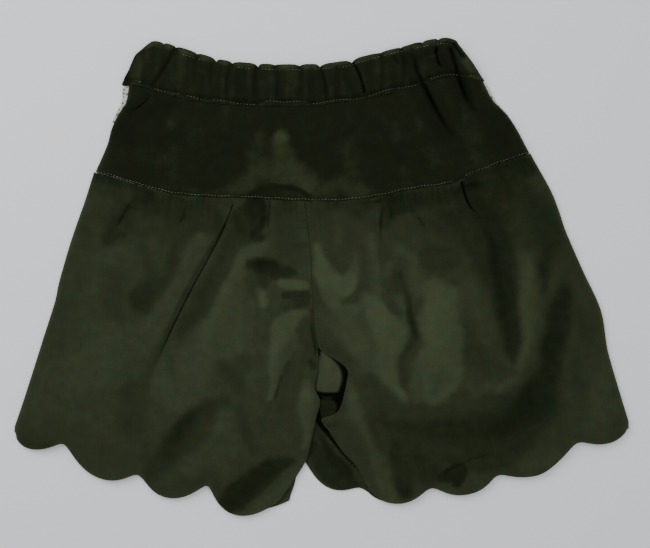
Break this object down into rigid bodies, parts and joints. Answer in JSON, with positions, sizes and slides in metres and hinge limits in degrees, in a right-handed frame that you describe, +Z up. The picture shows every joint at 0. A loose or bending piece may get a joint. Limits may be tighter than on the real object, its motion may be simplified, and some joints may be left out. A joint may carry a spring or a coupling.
{
  "type": "shorts",
  "caption": "Child's pull-on shorts in dark green corduroy, laid flat with the back upwards: gathered elastic waistband, hip yoke and two wide gathered legs with scalloped hems.",
  "frame": {"origin": "middle of the footprint, on the surface that the shorts lie on", "axes": "+X across the garment to the right as seen from above, +Y towards the waist, +Z up away from the surface; the back of the garment faces +Z"},
  "size_m": [0.458, 0.3573, 0.0119],
  "materials": {
    "yoke_corduroy": "very dark olive green fine corduroy, with the nap running the darker way",
    "leg_corduroy": "dark olive green fine corduroy",
    "facing_print": "off-white cotton with a small dark grey-green print"
  },
  "bodies": {
    "root": {"waistband_back": "yoke_corduroy", "waistband_front": "yoke_corduroy", "yoke_back": "yoke_corduroy", "yoke_front": "yoke_corduroy", "leg_back_left": "leg_corduroy", "leg_back_right": "leg_corduroy", "leg_front_left": "leg_corduroy", "leg_front_right": "leg_corduroy", "pocket_facing_left": "facing_print", "pocket_facing_right": "facing_print"}
  },
  "joints": []
}
